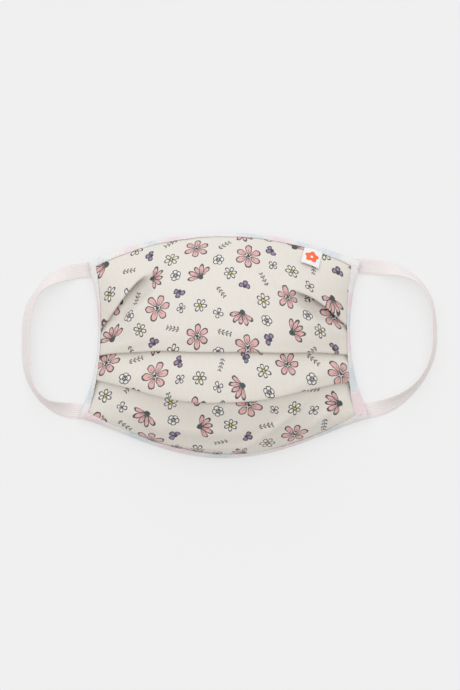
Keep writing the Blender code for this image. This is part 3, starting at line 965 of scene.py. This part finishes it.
def tape_material(colours):
    """Pastel jersey tape: soft patches of pink, pale blue and white, heathered and finely ribbed."""
    dyer = Dyer("pastel_jersey", 0.95, 0.35)
    place = dyer.object_place()
    level = dyer.scaled(place, 1.0, 1.0, 0.0)
    fuzz = dyer.noise(place, 1050.0, 2.0, 0.75)
    soft = dyer.fit(fuzz, 0.016, dyer.fit(dyer.noise(place, 130.0), 0.014, -0.015))

    def dyed(patches):
        """The strongest of round patches whose rims waver with the noise."""
        rounds = []
        for x, y, radius in patches:
            away = dyer.add("VectorMath", {0: level, 1: (x, y, 0.0)}, 1, operation="DISTANCE")
            rounds.append(dyer.step(dyer.plus(away, soft), radius * 1.35, radius * 0.45))
        return dyer.most(*rounds)

    colour = dyer.mix(dyed(PINK_PATCHES), shade(colours.tape_white), shade(colours.tape_pink))
    colour = dyer.mix(dyed(BLUE_PATCHES), colour, shade(colours.tape_blue))
    speck = dyer.times(dyer.step(fuzz, 0.52, 0.66), 0.6)
    colour = dyer.mix(speck, colour, shade(colours.tape_white, 1.03))
    shadow = dyer.times(dyer.step(fuzz, 0.46, 0.34), 0.5)
    colour = dyer.mix(shadow, colour, dyer.mix(1.0, colour, (0.93, 0.92, 0.92, 1.0), "MULTIPLY"))
    rib = plain_weave(dyer, dyer.map_of("run"), 0.00085)
    return dyer.finish(colour, dyer.step(fuzz, -1.2, 1.6), dyer.fit(fuzz, 0.9, rib), 0.00008, 0.6)


def knit_material(colours):
    """Pale pink elastic knit: lengthwise ribs crossed by small loops, a little fuzz, and painted shade in the
    grooves between the ribs.
    """
    dyer = Dyer("elastic_knit", 0.95, 0.35)
    along, aside = dyer.parts(dyer.map_of("run"))
    rib = dyer.sum("SINE", dyer.times(aside, 2 * math.pi / 0.00125))
    slant = dyer.fit(dyer.size(rib), 1.6, dyer.times(along, 2 * math.pi / 0.0011))
    loop = dyer.sum("SINE", slant)
    fuzz = dyer.noise(dyer.object_place(), 1300.0, 2.0, 0.7)
    colour = dyer.tones(dyer.noise(dyer.object_place(), 26.0, 1.0), colours.knit, 0.985, 1.015)
    # Painted shade: the knit colour is darkened in the grooves between the ribs, where the bump is lowest
    groove_shade = dyer.times(dyer.step(rib, 0.2, -0.9), 0.5)
    colour = dyer.mix(groove_shade, colour, shade(colours.knit, 0.93))
    colour = dyer.mix(dyer.times(dyer.step(fuzz, 0.5, 0.75), 0.3), colour, shade(colours.tape_white))
    height = dyer.fit(loop, 0.35, dyer.fit(fuzz, 0.6, rib))
    return dyer.finish(colour, dyer.step(fuzz, -1.2, 1.6), height, 0.0001, 0.6)


def satin_material(colours):
    """White woven tab: fine crosswise floats with a sheen, and a woven blossom of five round lobes."""
    dyer = Dyer("woven_satin", 0.55, 0.1)
    place = dyer.map_of("local")
    weave = plain_weave(dyer, place, 0.0003)
    fuzz = dyer.noise(dyer.scaled(place, 400.0, 2600.0, 1.0), 1.0)
    colour = dyer.tones(fuzz, colours.satin, 0.96, 1.02)
    x, y = dyer.parts(place)
    away = dyer.length(x, y)
    lobes = dyer.sum("COSINE", dyer.times(dyer.sum("ARCTAN2", x, y), 5.0))
    rim = dyer.less(away, dyer.fit(lobes, 0.00055, 0.0037))
    blossom = dyer.times(dyer.step(rim, 0.00008, -0.00008), dyer.step(away, 0.00075, 0.00095))
    colour = dyer.mix(blossom, colour, dyer.tones(fuzz, colours.coral, 0.9, 1.0))
    return dyer.finish(colour, dyer.step(fuzz, -1.0, 1.9), dyer.plus(weave, fuzz), 0.00004, 0.5)


def thread_material(name, colour):
    """Twisted sewing thread: slanted plies and a slight sheen."""
    dyer = Dyer(name, 0.7, 0.3)
    twist = dyer.noise(dyer.object_place(), 2600.0, 1.0)
    return dyer.finish(dyer.tones(twist, colour, 0.9, 1.04), dyer.step(twist, -1.2, 1.8), twist, 0.00005, 0.5)


def length(name, description, default):
    """Property for a length in metres."""
    return FloatProperty(name=name, description=description, default=default, unit="LENGTH")


def strength(name, description, default, unit="NONE"):
    """Property for a plain number."""
    return FloatProperty(name=name, description=description, default=default, unit=unit)


def tint(name, description, *default):
    """Property for a colour."""
    return FloatVectorProperty(name=name, description=description, default=default, subtype="COLOR")


class MaskSizes(PropertyGroup):
    cloth_wall: length("Cloth wall", "Thickness of the two cotton layers together", 0.0007)
    layer_pitch: length("Layer pitch", "From one folded layer to the next", 0.0010)
    tape_wall: length("Tape wall", "Thickness of the edge tape", 0.0005)
    tape_gap: length("Tape gap", "Room between the cloth and the tape", 0.0001)
    loop_wall: length("Loop wall", "Thickness of the ear loop's band", 0.0012)
    loop_width: length("Loop width", "Width of the ear loop's band", 2 * LOOP_HALF_WIDTH)
    label_width: length("Label width", "Width of the woven tab", 0.0110)
    label_drop: length("Label drop", "Length of the tab that shows", 0.0105)
    stitch: length("Stitch", "From one stitch to the next along a tape", 0.0026)


class MaskColours(PropertyGroup):
    cream: tint("Cloth", "Ground colour of the cotton", 0.756, 0.715, 0.650)
    petal_pink: tint("Petal pink", "Dye of the large petals", 0.74, 0.40, 0.385)
    petal_white: tint("Petal white", "Dye of the small flowers", 0.80, 0.785, 0.745)
    berry_purple: tint("Berry purple", "Dye of the berries", 0.27, 0.19, 0.36)
    heart_yellow: tint("Heart yellow", "Centres of the small flowers", 0.80, 0.70, 0.12)
    cap_green: tint("Cap green", "Caps of the bells", 0.06, 0.09, 0.06)
    ink: tint("Ink", "Outlines of the print", 0.03, 0.032, 0.05)
    tape_white: tint("Tape white", "Lightest colour of the tape", 0.79, 0.765, 0.765)
    tape_pink: tint("Tape pink", "Pink patches of the tape", 0.80, 0.655, 0.685)
    tape_blue: tint("Tape blue", "Blue patches of the tape", 0.63, 0.69, 0.72)
    knit: tint("Ear loops", "Colour of the knitted bands", 0.83, 0.775, 0.765)
    satin: tint("Tab", "Colour of the woven tab", 0.84, 0.83, 0.83)
    coral: tint("Coral", "Woven blossom on the tab", 0.95, 0.16, 0.05)
    thread: tint("Thread", "Colour of the seam thread", 0.78, 0.74, 0.73)
    tack: tint("Tack thread", "Colour of the corner tacks", 0.32, 0.24, 0.12)


class MaskStage(PropertyGroup):
    floor: tint("Floor", "Colour of the table top", 0.30, 0.30, 0.30)
    glow: strength("Floor glow", "Even light that the table top gives off", 0.560)
    key: strength("Key light", "Strength of the wide lamp", 1.47)
    key_tint: tint("Key tint", "Colour of the wide lamp", 0.93, 0.955, 1.0)
    sky: strength("Sky", "Strength of the light from all round", 0.665)
    sky_tint: tint("Sky tint", "Colour of the light from all round", 1.0, 0.982, 0.955)
    height: length("Camera height", "Camera above the table", 1.2)
    lens: strength("Lens", "Focal length in millimetres", 103.9, "CAMERA")


class MASK_OT_face_panel(Operator):
    """Lay the folded cloth over the dome and give it a wall"""

    bl_idname = "mask.face_panel"
    bl_label = "Face Panel"

    def execute(self, context):
        sizes, colours = context.scene.mask_sizes, context.scene.mask_colours
        across = spread_out(STATIONS)
        arc, level = folded_cloth(across, sizes.layer_pitch)
        share = np.clip(arc / arc[:, -1:], 0.0, 1.0)
        points = lay_down(across, arc, level + soft_waves(across[:, None], share))
        sideways = np.broadcast_to(across[:, None] * FLAT_HALF_WIDTH, arc.shape)
        flat = np.stack((sideways, print_run(across, arc, level)), axis=-1).reshape(-1, 2)
        faces = faces_of(*arc.shape)
        maps = {"flat": flat, **chart_print(flat, faces, colours)}
        looks = [cotton_material(colours, True), cotton_material(colours, False)]
        piece = make_piece("pleated_cloth", points, faces, looks, "panel_cloth", "face_panel", maps)
        give_wall(piece, sizes.cloth_wall, inside=1)
        return {"FINISHED"}


class MASK_OT_edge_tapes(Operator):
    """Fold the pastel tape round the cloth's four edges"""

    bl_idname = "mask.edge_tapes"
    bl_label = "Edge Tapes"

    def execute(self, context):
        sizes = context.scene.mask_sizes
        level = tape_level(sizes)
        looks = [tape_material(context.scene.mask_colours)]
        tapes = (
            ("top", edge_tape_points(True, sizes, level)),
            ("bottom", edge_tape_points(False, sizes, level)),
            ("left", side_tape_points(-1, sizes, level)),
            ("right", side_tape_points(1, sizes, level)),
        )
        for word, points in tapes:
            faces, maps = faces_of(*points.shape[:2]), tape_maps(points)
            piece = make_piece(f"{word}_tape", points, faces, looks, "binding_tape", f"{word}_binding", maps)
            give_wall(piece, sizes.tape_wall)
        return {"FINISHED"}


class MASK_OT_ear_loops(Operator):
    """Carry the flat knitted band round each ear loop"""

    bl_idname = "mask.ear_loops"
    bl_label = "Ear Loops"

    def execute(self, context):
        sizes = context.scene.mask_sizes
        looks = [knit_material(context.scene.mask_colours)]
        for number, word in enumerate(("left", "right")):
            points, run_map = loop_points(number, sizes, tape_level(sizes))
            faces = faces_of(*points.shape[:2], closed=True)[:, :: 1 if number else -1]
            maps = {"run": run_map}
            make_piece(f"{word}_loop_band", points, faces, looks, "loop_knit", f"{word}_ear_loop", maps)
        return {"FINISHED"}


class MASK_OT_label_tab(Operator):
    """Sew the woven tab in under the top tape"""

    bl_idname = "mask.label_tab"
    bl_label = "Label Tab"

    def execute(self, context):
        sizes = context.scene.mask_sizes
        looks = [satin_material(context.scene.mask_colours)]
        points, local = label_points(sizes, sizes.cloth_wall / 2 + HAIR)
        faces = faces_of(LABEL_GRID, LABEL_GRID)
        piece = make_piece("woven_tab", points, faces, looks, "label_satin", "label_tab", {"local": local})
        give_wall(piece, LABEL_WALL)
        return {"FINISHED"}


class MASK_OT_stitching(Operator):
    """Run the seam stitches along the tapes and tack the corners"""

    bl_idname = "mask.stitching"
    bl_label = "Stitching"

    def execute(self, context):
        sizes, colours = context.scene.mask_sizes, context.scene.mask_colours
        top = sizes.cloth_wall / 2 + sizes.tape_gap + sizes.tape_wall + HAIR
        rows = [edge_stitches(at_top, sizes.stitch, top) for at_top in (True, False)]
        rows += [side_stitches(side, sizes.stitch, top) for side in (-1, 1)]
        seams = [np.concatenate(part) for part in zip(*rows)]
        looks = [thread_material("seam_thread", colours.thread)]
        make_piece("seam_stitches", *thread_points(*seams, STITCH_RADIUS), looks, "binding_tape")
        looks = [thread_material("tack_thread", colours.tack)]
        tacks = thread_points(*tack_ends(top), STITCH_RADIUS * 1.5)
        make_piece("corner_tacks", *tacks, looks, "panel_cloth")
        return {"FINISHED"}


class MASK_OT_stage(Operator):
    """Set the pale table top, the soft lights and the camera"""

    bl_idname = "mask.stage"
    bl_label = "Stage"

    def execute(self, context):
        scene = context.scene
        stage = scene.mask_stage
        scene.view_settings.view_transform = "Standard"
        scene.view_settings.look = "None"
        x, y = np.meshgrid(*[(-TABLE_REACH, 0.0, TABLE_REACH)] * 2, indexing="ij")
        points = np.stack((x, y, np.full_like(x, TABLE_LEVEL)), axis=-1)
        mesh = bpy.data.meshes.new("table_top")
        mesh.from_pydata(points.reshape(-1, 3).tolist(), [], faces_of(3, 3)[:, ::-1].tolist())
        dyer = Dyer("table_top", 0.9, 0.0)
        dyer.shader.inputs["Emission Color"].default_value = (1.0, 1.0, 1.0, 1.0)
        dyer.shader.inputs["Emission Strength"].default_value = stage.glow
        dyer.shader.inputs["Specular IOR Level"].default_value = 0.0
        grain = dyer.noise(dyer.object_place(), 3.0, 1.0)
        mesh.materials.append(dyer.finish(dyer.tones(grain, stage.floor, 0.998, 1.002)))
        top = put("table_top", mesh)
        world = bpy.data.worlds.new("soft_sky")
        world.use_nodes = True
        background = world.node_tree.nodes["Background"]
        background.inputs["Color"].default_value = shade(stage.sky_tint)
        background.inputs["Strength"].default_value = stage.sky
        scene.world = world
        lamp = bpy.data.lights.new("soft_lamp", "SUN")
        lamp.angle = LAMP_ANGLE
        lamp.energy = stage.key
        lamp.color = stage.key_tint
        holder = put("soft_lamp", lamp)
        holder.location = LAMP_PLACE
        holder.rotation_mode = "QUATERNION"
        holder.rotation_quaternion = (-Vector(LAMP_PLACE)).to_track_quat("-Z", "Y")
        lens = bpy.data.cameras.new("overhead_camera")
        lens.lens = stage.lens
        lens.sensor_width = 36.0
        lens.clip_start, lens.clip_end = 0.05, 20.0
        camera = put("overhead_camera", lens)
        camera.location = (-0.0003, 0.0004, stage.height)
        scene.camera = camera
        return {"FINISHED"}


STEPS = (
    MASK_OT_face_panel,
    MASK_OT_edge_tapes,
    MASK_OT_ear_loops,
    MASK_OT_label_tab,
    MASK_OT_stitching,
    MASK_OT_stage,
)


class MASK_PT_bench(Panel):
    """The mask's sizes, colours and making steps"""

    bl_label = "Face Mask"
    bl_idname = "MASK_PT_bench"
    bl_space_type = "VIEW_3D"
    bl_region_type = "UI"
    bl_category = "Face Mask"

    def draw(self, context):
        for group in (context.scene.mask_sizes, context.scene.mask_colours, context.scene.mask_stage):
            box = self.layout.box()
            for title in group.__annotations__:
                box.prop(group, title)
        for step in STEPS:
            self.layout.operator(step.bl_idname)


CLASSES = (MaskSizes, MaskColours, MaskStage) + STEPS + (MASK_PT_bench,)


def register():
    for one in CLASSES:
        bpy.utils.register_class(one)
    bpy.types.Scene.mask_sizes = PointerProperty(type=MaskSizes)
    bpy.types.Scene.mask_colours = PointerProperty(type=MaskColours)
    bpy.types.Scene.mask_stage = PointerProperty(type=MaskStage)


def unregister():
    del bpy.types.Scene.mask_stage
    del bpy.types.Scene.mask_colours
    del bpy.types.Scene.mask_sizes
    for one in reversed(CLASSES):
        bpy.utils.unregister_class(one)


def main():
    """Make every piece in order."""
    register()
    for step in STEPS:
        area, action = step.bl_idname.split(".")
        getattr(getattr(bpy.ops, area), action)()


if __name__ == "__main__":
    main()
